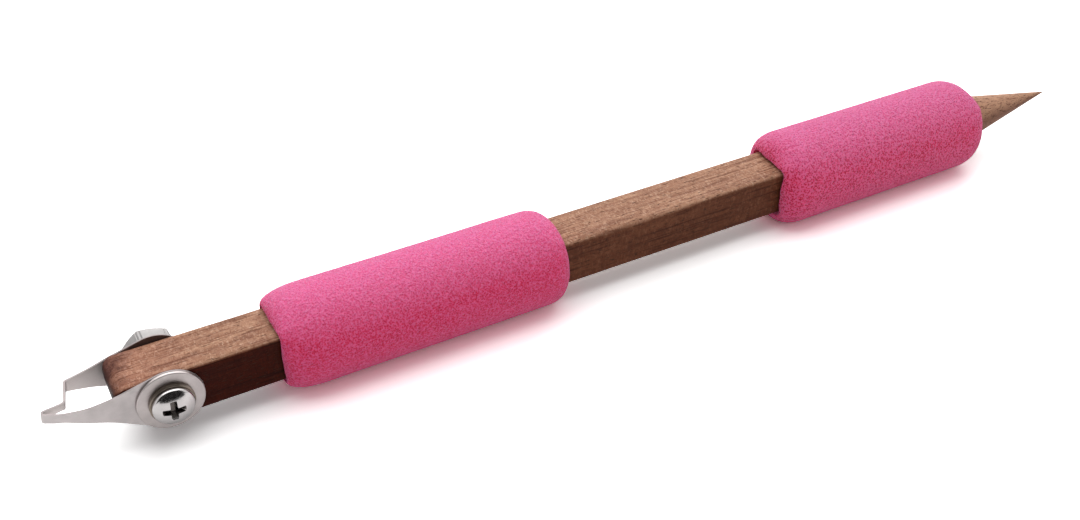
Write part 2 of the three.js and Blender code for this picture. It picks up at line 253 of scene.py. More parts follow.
# Faces of the clamped pieces, as distances from the handle's middle
HALF_SIDE = HANDLE_SIDE / 2
LEG_FACE = HALF_SIDE + FACE_GAP
NUT_FACE = LEG_FACE + BLADE_THICKNESS + FACE_GAP
NUT_TOP = NUT_FACE + NUT_THICKNESS
LOCK_WASHER_FACE = NUT_FACE + FLAT_WASHER_THICKNESS + FACE_GAP
HEAD_FACE = LOCK_WASHER_FACE + LOCK_WASHER_THICKNESS + FACE_GAP
HEAD_TOP = -HEAD_FACE - HEAD_HEIGHT

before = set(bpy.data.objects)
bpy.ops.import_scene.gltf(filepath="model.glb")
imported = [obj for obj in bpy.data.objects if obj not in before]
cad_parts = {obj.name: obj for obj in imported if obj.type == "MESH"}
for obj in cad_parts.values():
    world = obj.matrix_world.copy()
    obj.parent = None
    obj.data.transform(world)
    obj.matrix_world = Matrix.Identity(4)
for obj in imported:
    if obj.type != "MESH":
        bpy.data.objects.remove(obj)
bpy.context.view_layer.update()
washer_low, washer_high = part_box("flat_washer")
AXIS_PLACE = Vector(((washer_low.x + washer_high.x) / 2, 0, (washer_low.z + washer_high.z) / 2))
AXIS_HEIGHT = AXIS_PLACE.z / MM


def row(x, y, z):
    """A place in the tool's own millimetres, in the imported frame's metres."""
    return AXIS_PLACE + Vector((x, y, z)) * MM


def ease(value, low, high):
    """0 below low, 1 above high, and a smooth rise between."""
    share = min(max((value - low) / (high - low), 0), 1)
    return share * share * (3 - 2 * share)


def spread(start, span, steps):
    """Values evenly apart from a start over a span, with both ends."""
    return [start + span * k / steps for k in range(steps + 1)]


def make_object(name, points, faces):
    """A mesh object from places in tool millimetres."""
    mesh = bpy.data.meshes.new(name)
    mesh.from_pydata([row(*p) for p in points], [], faces)
    mesh.validate()
    obj = bpy.data.objects.new(name, mesh)
    bpy.context.scene.collection.objects.link(obj)
    return obj


def finish_mesh(obj, angle=SMOOTH_ANGLE):
    """Faces outward, shaded smooth except across sharp folds."""
    build = bmesh.new()
    build.from_mesh(obj.data)
    bmesh.ops.recalc_face_normals(build, faces=build.faces)
    build.to_mesh(obj.data)
    build.free()
    obj.data.shade_smooth()
    obj.data.set_sharp_from_angle(angle=angle)
    return obj


def cut(obj, cutter):
    """Cuts one solid out of another and drops the cutter."""
    modifier = obj.modifiers.new("cut", "BOOLEAN")
    modifier.operation = "DIFFERENCE"
    modifier.solver = "EXACT"
    modifier.object = cutter
    bpy.context.view_layer.update()
    graph = bpy.context.evaluated_depsgraph_get()
    mesh = bpy.data.meshes.new_from_object(obj.evaluated_get(graph))
    obj.modifiers.clear()
    obj.data = mesh
    bpy.data.objects.remove(cutter)


def skin(rings, closed=False):
    """Points and faces of a skin over rings of equal count. An open run gets a cap at each end."""
    count = len(rings[0])
    points = [p for ring in rings for p in ring]
    faces = []
    runs = len(rings) if closed else len(rings) - 1
    for k in range(runs):
        here = k * count
        there = (k + 1) % len(rings) * count
        for i in range(count):
            j = (i + 1) % count
            faces.append((here + i, here + j, there + j, there + i))
    if not closed:
        faces.append(tuple(range(count - 1, -1, -1)))
        last = (len(rings) - 1) * count
        faces.append(tuple(last + i for i in range(count)))
    return points, faces


def about_screw(turn, reach, y):
    """A point at a direction and a distance about the clamp screw's axis."""
    return (reach * math.sin(turn), y, reach * math.cos(turn))


def turned(profile, steps):
    """Rings about the clamp screw's axis from [reach, place along it] pairs."""
    turns = spread(0, TURN, steps)[:-1]
    return [[about_screw(turn, reach, y) for turn in turns] for reach, y in profile]


def rounded_reach(angle, half, corner):
    """Distance from the centre of a rounded square to its edge, along a direction."""
    c = abs(math.cos(angle))
    s = abs(math.sin(angle))
    inner = half - corner
    flat = half / max(c, s)
    if flat * min(c, s) <= inner:
        return flat
    along = inner * (c + s)
    return along + math.sqrt(max(along * along - 2 * inner * inner + corner * corner, 0))


def handle_turns(flat_steps, corner_steps):
    """Directions round the handle's length, close together at the corners of the square."""
    flat_end = math.atan((HALF_SIDE - WORN_EDGE_ROUND) / HALF_SIDE)
    turns = []
    for side in range(4):
        middle = QUARTER * side
        turns += spread(middle - flat_end, 2 * flat_end, flat_steps)[:-1]
        turns += spread(middle + flat_end, QUARTER - 2 * flat_end, corner_steps)[:-1]
    return turns


def draw_in(depth, radius):
    """How far a rounding of this radius has drawn in, at a depth from the end."""
    if depth >= radius:
        return 0.0
    return radius - math.sqrt(max(radius * radius - (radius - depth) ** 2, 0))


def soft_min(a, b, blend):
    """The smaller of two reaches, with the ridge between them rounded."""
    return min(a, b) - blend * math.log1p(math.exp(-abs(a - b) / blend))


def worn_round(x, angle):
    """Rounding of the wood's long edge, which is worn on the near top between the grips."""
    worn = ease(x, *WORN_EDGE_BEGIN) - ease(x, *WORN_EDGE_END)
    near_top = ease(math.cos(angle - WORN_EDGE_TURN), *WORN_EDGE_SPREAD)
    place = Vector((x * WORN_EDGE_WAVES_PER_MM, WORN_EDGE_SEED, 0))
    wander = 0.5 + 0.5 * noise.noise(place)
    return HANDLE_EDGE_ROUND + (WORN_EDGE_ROUND - HANDLE_EDGE_ROUND) * worn * near_top * wander


def wood_wave(x, angle):
    """How far the wood's face lies below the true square, at one place and direction."""
    side = math.cos(angle) * WOOD_WAVES_AROUND
    height = math.sin(angle) * WOOD_WAVES_AROUND
    wave = noise.noise(Vector((x * WOOD_WAVES_PER_MM, side, height)))
    return WOOD_WAVE * (0.5 + 0.5 * wave) * ease(x, *WOOD_WAVE_BEGIN)


def handle_section(x, turns):
    """The wood's outline at one place along it."""
    depth = x + NOSE_REACH
    top = HALF_SIDE - draw_in(depth, NOSE_TOP_ROUND)
    bottom = -HALF_SIDE + draw_in(depth, NOSE_BOTTOM_ROUND)
    width_scale = (HALF_SIDE - draw_in(depth, NOSE_SIDE_ROUND)) / HALF_SIDE
    height_scale = (top - bottom) / HANDLE_SIDE
    cone = POINT_END_RADIUS + (POINT_REACH - x) * math.tan(POINT_HALF_ANGLE)
    section = []
    for angle in turns:
        square = rounded_reach(angle, HALF_SIDE, worn_round(x, angle)) - wood_wave(x, angle)
        reach = soft_min(square, cone, RIDGE_BLEND)
        side = reach * math.cos(angle) * width_scale
        section.append((x, side, (top + bottom) / 2 + reach * math.sin(angle) * height_scale))
    return section


def handle_places():
    """Places along the handle, close together at the nose and at the point."""
    nose = spread(0, QUARTER, steps=20)[:-1]
    start = NOSE_BOTTOM_ROUND - NOSE_REACH
    end = POINT_REACH - POINT_FINE_LENGTH
    places = [-NOSE_REACH + NOSE_BOTTOM_ROUND * (1 - math.cos(swing)) for swing in nose]
    places += spread(start, end - start, steps=150)[:-1]
    places += spread(end, POINT_REACH - end, steps=90)
    return places


def build_handle():
    """The square wood with its rounded nose, its point and the hole for the screw."""
    turns = handle_turns(flat_steps=10, corner_steps=7)
    obj = make_object("wood_handle", *skin([handle_section(x, turns) for x in handle_places()]))
    finish_mesh(obj)
    reach = HALF_SIDE + CUTTER_OVERHANG
    hole = turned([(SCREW_HOLE_RADIUS, -reach), (SCREW_HOLE_RADIUS, reach)], steps=48)
    cut(obj, finish_mesh(make_object("hole_cutter", *skin(hole))))
    obj.data.set_sharp_from_angle(angle=SMOOTH_ANGLE)
    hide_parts("handle")
    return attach(obj, "handle")


def foam_grain(x, angle, radius, seed):
    """Small lumps of the foam's skin, in millimetres of height."""
    place = Vector((x, radius * math.cos(angle), radius * math.sin(angle)))
    swell = noise.noise(place * GRIP_SWELLS_PER_MM + Vector((seed, 0, 0)))
    lumps = noise.noise(place * GRIP_LUMPS_PER_MM + Vector((0, seed, 0)))
    cells = noise.noise(place * GRIP_CELLS_PER_MM + Vector((0, 0, seed)))
    return GRIP_SWELL * (swell - 0.5) + GRIP_GRAIN * (GRIP_LUMP_SHARE * lumps + cells - 0.5)


def grip_bore(angle, flare):
    """Distance from the handle's middle to the foam's square hole, along a direction."""
    grow = GRIP_CLEARANCE + flare
    return rounded_reach(angle, HALF_SIDE + grow, HANDLE_EDGE_ROUND + grow)


def mouth_depth(grip, angle, at_rear):
    """How far back a mouth's edge lies at one direction."""
    low = grip_bore(0, GRIP_MOUTH_FLARE)
    high = grip_bore(math.pi / 4, GRIP_MOUTH_FLARE)
    share = (grip_bore(angle, GRIP_MOUTH_FLARE) - low) / (high - low)
    side = GRIP_MOUTH_WAVES * math.cos(angle)
    height = GRIP_MOUTH_WAVES * math.sin(angle)
    ripple = grip["mouth_ripple"] * noise.noise(Vector((side, height, grip["seed"])))
    if at_rear:
        return grip["rear_setback"] * share + abs(ripple)
    return grip["front_setback"] * share + grip["front_skew"] * math.cos(angle) + ripple


def grip_place(grip, depth, at_rear):
    """The place along the handle at a depth from one end of a grip."""
    return grip["start"] + (grip["length"] - depth if at_rear else depth)


def grip_skin_point(grip, x, angle, reach, grain_share):
    """A point on a grip's skin, which is flat where the grip lies on the floor."""
    reach += foam_grain(x, angle, reach, grip["seed"]) * grain_share
    return (x, reach * math.cos(angle), max(reach * math.sin(angle), -AXIS_HEIGHT))


def grip_end_ring(grip, turns, swing, at_rear):
    """A ring of a rounded end, from the mouth at swing 0 to the side at a quarter turn."""
    length = grip["rear_round"] if at_rear else grip["front_round"]
    ring = []
    for angle in turns:
        mouth = grip_bore(angle, GRIP_MOUTH_FLARE)
        reach = mouth + (grip["radius"] - mouth) * math.sin(swing)
        start = mouth_depth(grip, angle, at_rear)
        x = grip_place(grip, start + (length - start) * (1 - math.cos(swing)), at_rear)
        ring.append(grip_skin_point(grip, x, angle, reach, math.sin(swing)))
    return ring


def grip_bore_ring(grip, turns, share, at_rear):
    """A ring of a mouth's flared bore, from its edge at share 0 to its inner end at 1."""
    ring = []
    for angle in turns:
        reach = grip_bore(angle, GRIP_MOUTH_FLARE * (1 - ease(share, 0, 1)))
        depth = GRIP_MOUTH_DEPTH * share + mouth_depth(grip, angle, at_rear)
        x = grip_place(grip, depth, at_rear)
        ring.append((x, reach * math.cos(angle), reach * math.sin(angle)))
    return ring


def grip_rings(grip):
    """Rings from the front mouth over the outside to the rear mouth, and back along the bore."""
    turns = spread(0, TURN, steps=176)[:-1]
    swings = spread(0, QUARTER, steps=26)
    low = grip["start"] + grip["front_round"]
    high = grip["start"] + grip["length"] - grip["rear_round"]
    rings = [grip_end_ring(grip, turns, swing, False) for swing in swings]
    for x in spread(low, high - low, steps=170)[1:-1]:
        rings.append([grip_skin_point(grip, x, angle, grip["radius"], 1) for angle in turns])
    rings += [grip_end_ring(grip, turns, swing, True) for swing in reversed(swings)]
    shares = spread(0, 1, steps=4)[1:]
    rings += [grip_bore_ring(grip, turns, share, True) for share in shares]
    rings += [grip_bore_ring(grip, turns, share, False) for share in reversed(shares)]
    return rings


def build_grip(name, node, grip):
    """A foam sleeve with rounded ends and a square bore."""
    obj = finish_mesh(make_object(name, *skin(grip_rings(grip), closed=True)), BLUNT_ANGLE)
    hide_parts(node)
    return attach(obj, node)


def strip_corners():
    """Corners of the blade's centre line from above: reach, side and radius of each bend."""
    side = LEG_FACE + BLADE_THICKNESS / 2
    fold = math.atan2(TIP_SIDE - NEAR_BOW_SIDE, TIP_REACH - NEAR_BOW_REACH)
    fold += math.atan2(VALLEY_SIDE - TIP_SIDE, TIP_REACH - VALLEY_REACH)
    pull = TIP_BEND_RADIUS / math.sin(fold / 2) - TIP_BEND_RADIUS - BLADE_THICKNESS / 2
    return [
        (LUG_RADIUS, -side, 0),
        (-NEAR_BEND_REACH, -side, NEAR_BEND_RADIUS),
        (-NEAR_BOW_REACH, NEAR_BOW_SIDE, NEAR_BOW_RADIUS),
        (-TIP_REACH - pull, TIP_SIDE, TIP_BEND_RADIUS),
        (-VALLEY_REACH, VALLEY_SIDE, CORNER_BEND_RADIUS),
        (-FAR_CORNER_REACH + BLADE_THICKNESS / 2, FAR_CORNER_SIDE, CORNER_BEND_RADIUS),
        (-FAR_BEND_REACH, side, FAR_BEND_RADIUS),
        (LUG_RADIUS, side, 0),
    ]


def strip_path():
    """The blade's centre line seen from above, with an arc at each bend."""
    corners = strip_corners()
    path = [Vector(corners[0][:2])]
    for before, corner, after in zip(corners, corners[1:], corners[2:]):
        here = Vector(corner[:2])
        come = (here - Vector(before[:2])).normalized()
        leave = (Vector(after[:2]) - here).normalized()
        turn = come.angle_signed(leave)
        bend = corner[2]
        start = here - come * bend * math.tan(abs(turn) / 2)
        hand = -math.copysign(1, turn)
        hub = start + Vector((-come.y, come.x)) * hand * bend
        for swing in spread(0, hand * abs(turn), steps=12):
            path.append(hub + Matrix.Rotation(swing, 2) @ (start - hub))
    path.append(Vector(corners[-1][:2]))
    return path


def strip_narrowing(y):
    """The share of its height that the strip keeps, which is least at the valley of the fold."""
    share = ease(y, TIP_SIDE, VALLEY_SIDE) * (1 - ease(y, VALLEY_SIDE, FAR_CORNER_SIDE))
    return 1 - VALLEY_NARROWING * share


def strip_half_height(x):
    """Half the strip's height at one place: a round lug that tapers to a narrow strip."""
    reach = -x
    lug_end = LUG_RADIUS * math.sin(TAPER_SLOPE)
    if reach <= lug_end:
        return math.sqrt(max(LUG_RADIUS * LUG_RADIUS - reach * reach, 0))
    slope = math.tan(TAPER_SLOPE)
    straight = LUG_RADIUS * math.cos(TAPER_SLOPE) - (TAPER_STRAIGHT_REACH - lug_end) * slope
    if reach <= TAPER_STRAIGHT_REACH:
        return LUG_RADIUS * math.cos(TAPER_SLOPE) - (reach - lug_end) * slope
    if reach >= NECK_REACH:
        rise = (TIP_HALF_HEIGHT - NECK_HALF_HEIGHT) / (TIP_HEIGHT_REACH - NECK_REACH)
        return NECK_HALF_HEIGHT + (reach - NECK_REACH) * rise
    control = straight - (TAPER_CONTROL_REACH - TAPER_STRAIGHT_REACH) * slope
    a = TAPER_STRAIGHT_REACH - 2 * TAPER_CONTROL_REACH + NECK_REACH
    b = 2 * (TAPER_CONTROL_REACH - TAPER_STRAIGHT_REACH)
    c = TAPER_STRAIGHT_REACH - reach
    t = (-b + math.sqrt(b * b - 4 * a * c)) / (2 * a)
    return (1 - t) ** 2 * straight + 2 * t * (1 - t) * control + t * t * NECK_HALF_HEIGHT


def strip_line():
    """Places along the whole strip, close together on the lugs."""
    path = strip_path()
    fine = []
    for a, b in zip(path, path[1:]):
        steps = max(1, math.ceil((b - a).length / BLADE_STEP))
        fine += [a.lerp(b, share) for share in spread(0, 1, steps)[:-1]]
    fine.append(path[-1])
    side = fine[0].y
    ends = [LUG_RADIUS * math.cos(swing) for swing in spread(0, QUARTER, steps=40)]
    near = [Vector((x, side)) for x in ends]
    far = [Vector((x, -side)) for x in reversed(ends)]
    return near + [p for p in fine if p.x < -SAME_STATION] + far


def strip_samples():
    """Stations along the flat strip: [distance, place, sideways direction]."""
    line = strip_line()
    samples = []
    run = 0.0
    for i, place in enumerate(line):
        before = line[max(i - 1, 0)]
        after = line[min(i + 1, len(line) - 1)]
        heading = (after - before).normalized()
        if i:
            run += (place - before).length
        samples.append((run, place, Vector((-heading.y, heading.x))))
    return samples


def flat_outlines(samples):
    """The flat strip's outline and its two holes."""
    upper = [(s, strip_half_height(p.x) * strip_narrowing(p.y)) for s, p, _ in samples]
    outlines = [upper + [(s, -h) for s, h in reversed(upper[1:-1])]]
    reach = SCREW_HOLE_RADIUS
    turns = spread(0, TURN, steps=56)[:-1]
    for centre in (samples[0][0] + LUG_RADIUS, samples[-1][0] - LUG_RADIUS):
        outlines.append([(centre + reach * math.cos(t), reach * math.sin(t)) for t in turns])
    return outlines


def flat_pattern(samples):
    """The strip laid flat, with its two holes, cut across at each station."""
    build = bmesh.new()
    edges = []
    for outline in flat_outlines(samples):
        verts = [build.verts.new((s, h, 0)) for s, h in outline]
        edges += [build.edges.new((a, b)) for a, b in zip(verts, verts[1:] + verts[:1])]
    bmesh.ops.triangle_fill(build, use_beauty=True, use_dissolve=False, edges=edges)
    for s, _, _ in samples[1:-1]:
        bmesh.ops.bisect_plane(
            build, geom=build.verts[:] + build.edges[:] + build.faces[:],
            dist=CUT_TOLERANCE, plane_co=(s, 0, 0), plane_no=(1, 0, 0),
        )
    bmesh.ops.remove_doubles(build, verts=build.verts, dist=WELD_DISTANCE)
    build.verts.index_update()
    return build


def folded_place(samples, distance):
    """Where a distance along the flat strip lies on the folded one, and which way is sideways."""
    k = 0
    while k < len(samples) - 2 and samples[k + 1][0] < distance - SAME_STATION:
        k += 1
    start, place, sideways = samples[k]
    end, next_place, next_sideways = samples[k + 1]
    share = (distance - start) / (end - start)
    return place.lerp(next_place, share), sideways.lerp(next_sideways, share).normalized()


def folded_blade(samples, build):
    """Points and faces of the flat pattern, folded and given its thickness."""
    tilt = Matrix.Rotation(BLADE_TILT, 3, "Y")
    points = []
    for shift in (-0.5, 0.5):
        for vert in build.verts:
            place, sideways = folded_place(samples, vert.co.x)
            place = place + sideways * BLADE_THICKNESS * shift
            points.append(tilt @ Vector((place.x, place.y, vert.co.y)))
    count = len(build.verts)
    faces = []
    for face in build.faces:
        ids = [v.index for v in face.verts]
        faces.append(ids)
        faces.append([i + count for i in reversed(ids)])
    for edge in build.edges:
        if edge.is_boundary:
            a, b = [v.index for v in edge.verts]
            faces.append([a, b, b + count, a + count])
    return points, faces


def build_blade():
    """The bent steel loop with its two lugs and its eased edges."""
    samples = strip_samples()
    build = flat_pattern(samples)
    obj = finish_mesh(make_object("bent_blade", *folded_blade(samples, build)))
    build.free()
    bevel = obj.modifiers.new("edge_rounding", "BEVEL")
    bevel.width = BLADE_EDGE_EASE * MM
    bevel.segments = 2
    bevel.limit_method = "ANGLE"
    bevel.angle_limit = BLUNT_ANGLE
    bevel.harden_normals = True
    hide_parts("blade")
    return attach(obj, "blade")


def build_flat_washer():
    """A stamped ring: its outer face has a rolled edge and its seat a crisp one."""
    top = -NUT_FACE - FLAT_WASHER_THICKNESS
    profile = [
        (FLAT_WASHER_HOLE, -NUT_FACE),
        (FLAT_WASHER_RADIUS - FLAT_WASHER_SEAT_EASE, -NUT_FACE),
        (FLAT_WASHER_RADIUS, -NUT_FACE - FLAT_WASHER_SEAT_EASE),
    ]
    for swing in spread(0, QUARTER, steps=6):
        reach = FLAT_WASHER_RADIUS - FLAT_WASHER_ROLL * (1 - math.cos(swing))
        profile.append((reach, top + FLAT_WASHER_ROLL * (1 - math.sin(swing))))
    profile.append((FLAT_WASHER_HOLE + FLAT_WASHER_HOLE_EASE, top))
    profile.append((FLAT_WASHER_HOLE, top + FLAT_WASHER_HOLE_EASE))
    rings = turned(profile, steps=128)
    obj = finish_mesh(make_object("washer_plain", *skin(rings, closed=True)))
    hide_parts("flat_washer")
    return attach(obj, "blade")


def lock_washer_profile(low, top):
    """The square wire's section between two faces, with eased corners."""
    bit = LOCK_WASHER_EASE
    return [
        (LOCK_WASHER_HOLE, low - bit), (LOCK_WASHER_HOLE + bit, low),
        (LOCK_WASHER_RADIUS - bit, low), (LOCK_WASHER_RADIUS, low - bit),
        (LOCK_WASHER_RADIUS, top + bit), (LOCK_WASHER_RADIUS - bit, top),
        (LOCK_WASHER_HOLE + bit, top), (LOCK_WASHER_HOLE, top + bit),
    ]


def build_lock_washer():
    """A ring of square wire with one slanted cut through its lowest side."""
    low = -LOCK_WASHER_FACE
    steps = 110
    rings = []
    for k in range(steps + 1):
        ring = []
        for reach, y in lock_washer_profile(low, low - LOCK_WASHER_THICKNESS):
            slant = LOCK_WASHER_SLANT * ((y - low) / LOCK_WASHER_THICKNESS + 0.5)
            gap = LOCK_WASHER_SPLIT / 2 / reach
            turn = math.pi + gap + slant / reach + (TURN - 2 * gap) * k / steps
            ring.append(about_screw(turn, reach, y))
        rings.append(ring)
    obj = finish_mesh(make_object("washer_split", *skin(rings)))
    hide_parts("lock_washer")
    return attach(obj, "clamp_screw")


def thread_reach(y, turn, crest):
    """Radius of a right-hand thread at a place along the screw and a direction about it."""
    phase = (y / THREAD_PITCH - turn / TURN) % 1.0
    tooth = 1 - abs(2 * phase - 1)
    root = crest - THREAD_DEPTH
    share = min(max((tooth - THREAD_ROOT_SHARE) / THREAD_FLANK_SHARE, 0), 1)
    return root + (crest - root) * share


def head_profile():
    """The pan head's dome and rounded rim, from the middle outwards, then its seat."""
    profile = []
    for reach in spread(0, HEAD_DOME_REACH, steps=14)[1:]:
        rise = math.sqrt(HEAD_DOME_RADIUS ** 2 - reach ** 2)
        profile.append((reach, HEAD_TOP + HEAD_DOME_RADIUS - rise))
    slope = math.asin(HEAD_DOME_REACH / HEAD_DOME_RADIUS)
    rim_wide = (HEAD_RADIUS - HEAD_DOME_REACH) / (1 - math.sin(slope))
    rim_start = profile[-1][1]
    for angle in spread(slope, QUARTER - slope, steps=12)[1:]:
        reach = HEAD_DOME_REACH + rim_wide * (math.sin(angle) - math.sin(slope))
        drop = HEAD_RIM_ROUND * (math.cos(slope) - math.cos(angle))
        profile.append((reach, rim_start + drop))
    for inset, height in HEAD_SEAT_EASE:
        profile.append((HEAD_RADIUS - inset, -HEAD_FACE - height))
    profile.append((SCREW_RADIUS, -HEAD_FACE))
    return profile


def screw_thread_rings(turn_steps):
    """Rings of the threaded shank, from under the head to the chamfered end."""
    start = -HEAD_FACE + THREAD_START
    end = SCREW_LENGTH - HEAD_FACE
    root = SCREW_RADIUS - THREAD_DEPTH
    rings = []
    for y in spread(start, end - start, steps=230):
        chamfer = root + max(end - y, 0) * THREAD_DEPTH / SCREW_END_CHAMFER
        ring = []
        for turn in spread(0, TURN, turn_steps)[:-1]:
            reach = min(thread_reach(y, turn, SCREW_RADIUS), chamfer)
            ring.append(about_screw(turn, reach, y))
        rings.append(ring)
    return rings


def recess_cutter(turn, long_half, wide_half):
    """A tapered block for one wing pair of the cross, or for its wider middle."""
    u, v = RECESS_CORNER
    outline = ((-1, -v), (-u, -1), (u, -1), (1, -v), (1, v), (u, 1), (-u, 1), (-1, v))
    levels = (
        (HEAD_TOP - RECESS_CUTTER_RISE, RECESS_TOP_SCALE),
        (HEAD_TOP + RECESS_LIP, 1.0),
        (HEAD_TOP + RECESS_DEPTH, RECESS_FLOOR_SCALE),
    )
    rings = []
    for y, scale in levels:
        ring = []
        for long_share, wide_share in outline:
            x = long_share * long_half * scale
            z = wide_share * wide_half * max(scale, RECESS_LEAST_WIDTH)
            spun_x = x * math.cos(turn) + z * math.sin(turn)
            spun_z = -x * math.sin(turn) + z * math.cos(turn)
            ring.append((spun_x - RECESS_OFFSET, y, spun_z))
        rings.append(ring)
    return finish_mesh(make_object("recess_cutter", *skin(rings)))


def build_screw():
    """Pan head with a cross recess, and a right-hand thread to the end of the shank."""
    steps = 96
    rings = turned(head_profile(), steps) + screw_thread_rings(steps)
    obj = finish_mesh(make_object("pan_head_screw", *skin(rings)))
    for turn in (RECESS_TURN, RECESS_TURN + QUARTER):
        cut(obj, recess_cutter(turn, RECESS_SPAN / 2, RECESS_WING / 2))
    core = RECESS_CORE / math.sqrt(2)
    cut(obj, recess_cutter(RECESS_TURN + math.pi / 4, core, core))
    obj.data.set_sharp_from_angle(angle=SMOOTH_ANGLE)
    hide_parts("clamp_screw")
    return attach(obj, "clamp_screw")


def hex_reach(turn):
    """Distance to the nut's outline along a direction, with rounded corners."""
    flat = NUT_ACROSS_FLATS / 2
    corner = QUARTER - NUT_CORNER_ANGLE
    from_flat = abs((turn - corner) % (math.pi / 3) - math.pi / 6)
    from_corner = math.pi / 6 - from_flat
    sharp = flat / math.cos(from_flat)
    hub = (flat - NUT_CORNER_ROUND) / math.cos(math.pi / 6)
    inside = NUT_CORNER_ROUND ** 2 - (hub * math.sin(from_corner)) ** 2
    if inside <= 0:
        return sharp
    return min(sharp, hub * math.cos(from_corner) + math.sqrt(inside))


def nut_turns():
    """Directions round the nut, close together at its six corners."""
    corner = QUARTER - NUT_CORNER_ANGLE
    wide = spread(NUT_FLAT_START, math.pi / 3 - 2 * NUT_FLAT_START, steps=11)
    turns = []
    for k in range(6):
        here = corner + math.pi / 3 * k
        turns += [here + t for t in [*NUT_CORNER_TURNS, *wide]]
    return sorted(t % TURN for t in turns)


def nut_face_ring(turns, share, at_top):
    """A ring on a face, from its flat middle at share 0 down the chamfer to the hexagon at 1."""
    flat = NUT_ACROSS_FLATS / 2 - NUT_FACE_EASE
    ring = []
    for turn in turns:
        reach = flat + (hex_reach(turn) - flat) * share
        drop = max(reach - flat, 0) * math.tan(NUT_CHAMFER)
        ring.append(about_screw(turn, reach, NUT_TOP - drop if at_top else NUT_FACE + drop))
    return ring


def nut_thread_rings(turns):
    """Rings of the threaded bore from the outer face to the seat, chamfered at both."""
    rings = []
    for y in spread(NUT_TOP, -NUT_THICKNESS, steps=60)[1:-1]:
        depth = min(NUT_TOP - y, y - NUT_FACE)
        chamfer = NUT_BORE_RADIUS + NUT_BORE_CHAMFER - depth * NUT_BORE_SLOPE
        ring = []
        for turn in turns:
            reach = max(thread_reach(y, turn, NUT_BORE_RADIUS), chamfer)
            ring.append(about_screw(turn, reach, y))
        rings.append(ring)
    return rings


def build_nut():
    """A hexagon nut, chamfered on both faces, with its thread cut to match the screw's."""
    turns = nut_turns()
    mouth = NUT_BORE_RADIUS + NUT_BORE_CHAMFER
    shares = spread(0, 1, steps=4)
    rings = [[about_screw(turn, mouth, NUT_FACE) for turn in turns]]
    rings += [nut_face_ring(turns, share, False) for share in shares]
    rings += [nut_face_ring(turns, share, True) for share in reversed(shares)]
    rings.append([about_screw(turn, mouth, NUT_TOP) for turn in turns])
    rings += nut_thread_rings(turns)
    obj = finish_mesh(make_object("hex_nut", *skin(rings, closed=True)))
    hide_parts("clamp_nut")
    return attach(obj, "clamp_nut")


class Shader:
    """A material with short calls for the nodes that it needs."""

    def __init__(self, name):
        self.material = bpy.data.materials.new(name)
        self.material.use_nodes = True
        self.tree = self.material.node_tree
        self.bsdf = self.tree.nodes["Principled BSDF"]
        self.coordinates = self.tree.nodes.new("ShaderNodeTexCoord").outputs

    def feed(self, socket, value):
        """Links a node's output to a socket, or sets the socket to a plain value."""
        if isinstance(value, bpy.types.NodeSocket):
            self.tree.links.new(value, socket)
        else:
            socket.default_value = value

    def node(self, kind, inputs=(), **settings):
        made = self.tree.nodes.new(kind)
        for key, value in settings.items():
            setattr(made, key, value)
        for key, value in dict(inputs).items():
            self.feed(made.inputs[key], value)
        return made

    def put(self, **inputs):
        """Feeds the shader's own sockets, whose names have _ here for each space."""
        for key, value in inputs.items():
            self.feed(self.bsdf.inputs[key.replace("_", " ")], value)

    def component(self, kind, axis):
        split = self.node("ShaderNodeSeparateXYZ", {"Vector": self.coordinates[kind]})
        return split.outputs[axis]

    def place(self, axis):
        """The place along one of the object's axes, in metres."""
        return self.component("Object", axis)

    def facing(self, axis):
        """How far the surface faces along one of the object's axes, from -1 to 1."""
        return self.component("Normal", axis)

    def stretched(self, stretch):
        """Object coordinates in millimetres, scaled along each axis."""
        scale = tuple(s / MM for s in stretch)
        inputs = {"Vector": self.coordinates["Object"], "Scale": scale}
        return self.node("ShaderNodeMapping", inputs).outputs[0]

    def noise(self, scale, detail, roughness=0.5, distortion=0.0, stretch=(1, 1, 1)):
        inputs = {
            "Vector": self.stretched(stretch), "Scale": scale, "Detail": detail,
            "Roughness": roughness, "Distortion": distortion,
        }
        return self.node("ShaderNodeTexNoise", inputs).outputs["Fac"]

    def cells(self, scale):
        inputs = {"Vector": self.stretched((1, 1, 1)), "Scale": scale}
        return self.node("ShaderNodeTexVoronoi", inputs).outputs["Distance"]

    def ramp(self, value, stops):
        """A colour ramp through [position, colour] pairs."""
        stops = list(stops)
        made = self.node("ShaderNodeValToRGB", {"Fac": value})
        elements = made.color_ramp.elements
        while len(elements) < len(stops):
            elements.new(0.5)
        for element, (position, colour) in zip(elements, stops):
            element.position = position
            element.color = (*colour, 1)
        return made.outputs["Color"]

    def remap(self, value, low, high, to_low=0.0, to_high=1.0):
        """Carries low to to_low and high to to_high, and holds still beyond them."""
        inputs = {
            "Value": value, "From Min": low, "From Max": high, "To Min": to_low, "To Max": to_high,
        }
        return self.node("ShaderNodeMapRange", inputs).outputs["Result"]

    def math(self, operation, a, b=0.0):
        return self.node("ShaderNodeMath", {0: a, 1: b}, operation=operation).outputs[0]

    def plus(self, a, b):
        return self.math("ADD", a, b)

    def minus(self, a, b):
        return self.math("SUBTRACT", a, b)

    def times(self, a, b):
        return self.math("MULTIPLY", a, b)

    def mix(self, factor, a, b, blend="MIX"):
        made = self.node("ShaderNodeMix", data_type="RGBA", blend_type=blend)
        for index, value in ((0, factor), (6, a), (7, b)):
            self.feed(made.inputs[index], (*value, 1) if isinstance(value, tuple) else value)
        return made.outputs[2]

    def bump(self, height, distance, strength, normal=None):
        """A bump whose distance is in millimetres."""
        inputs = {"Height": height, "Distance": distance * MM, "Strength": strength}
        if normal:
            inputs["Normal"] = normal
        return self.node("ShaderNodeBump", inputs).outputs["Normal"]


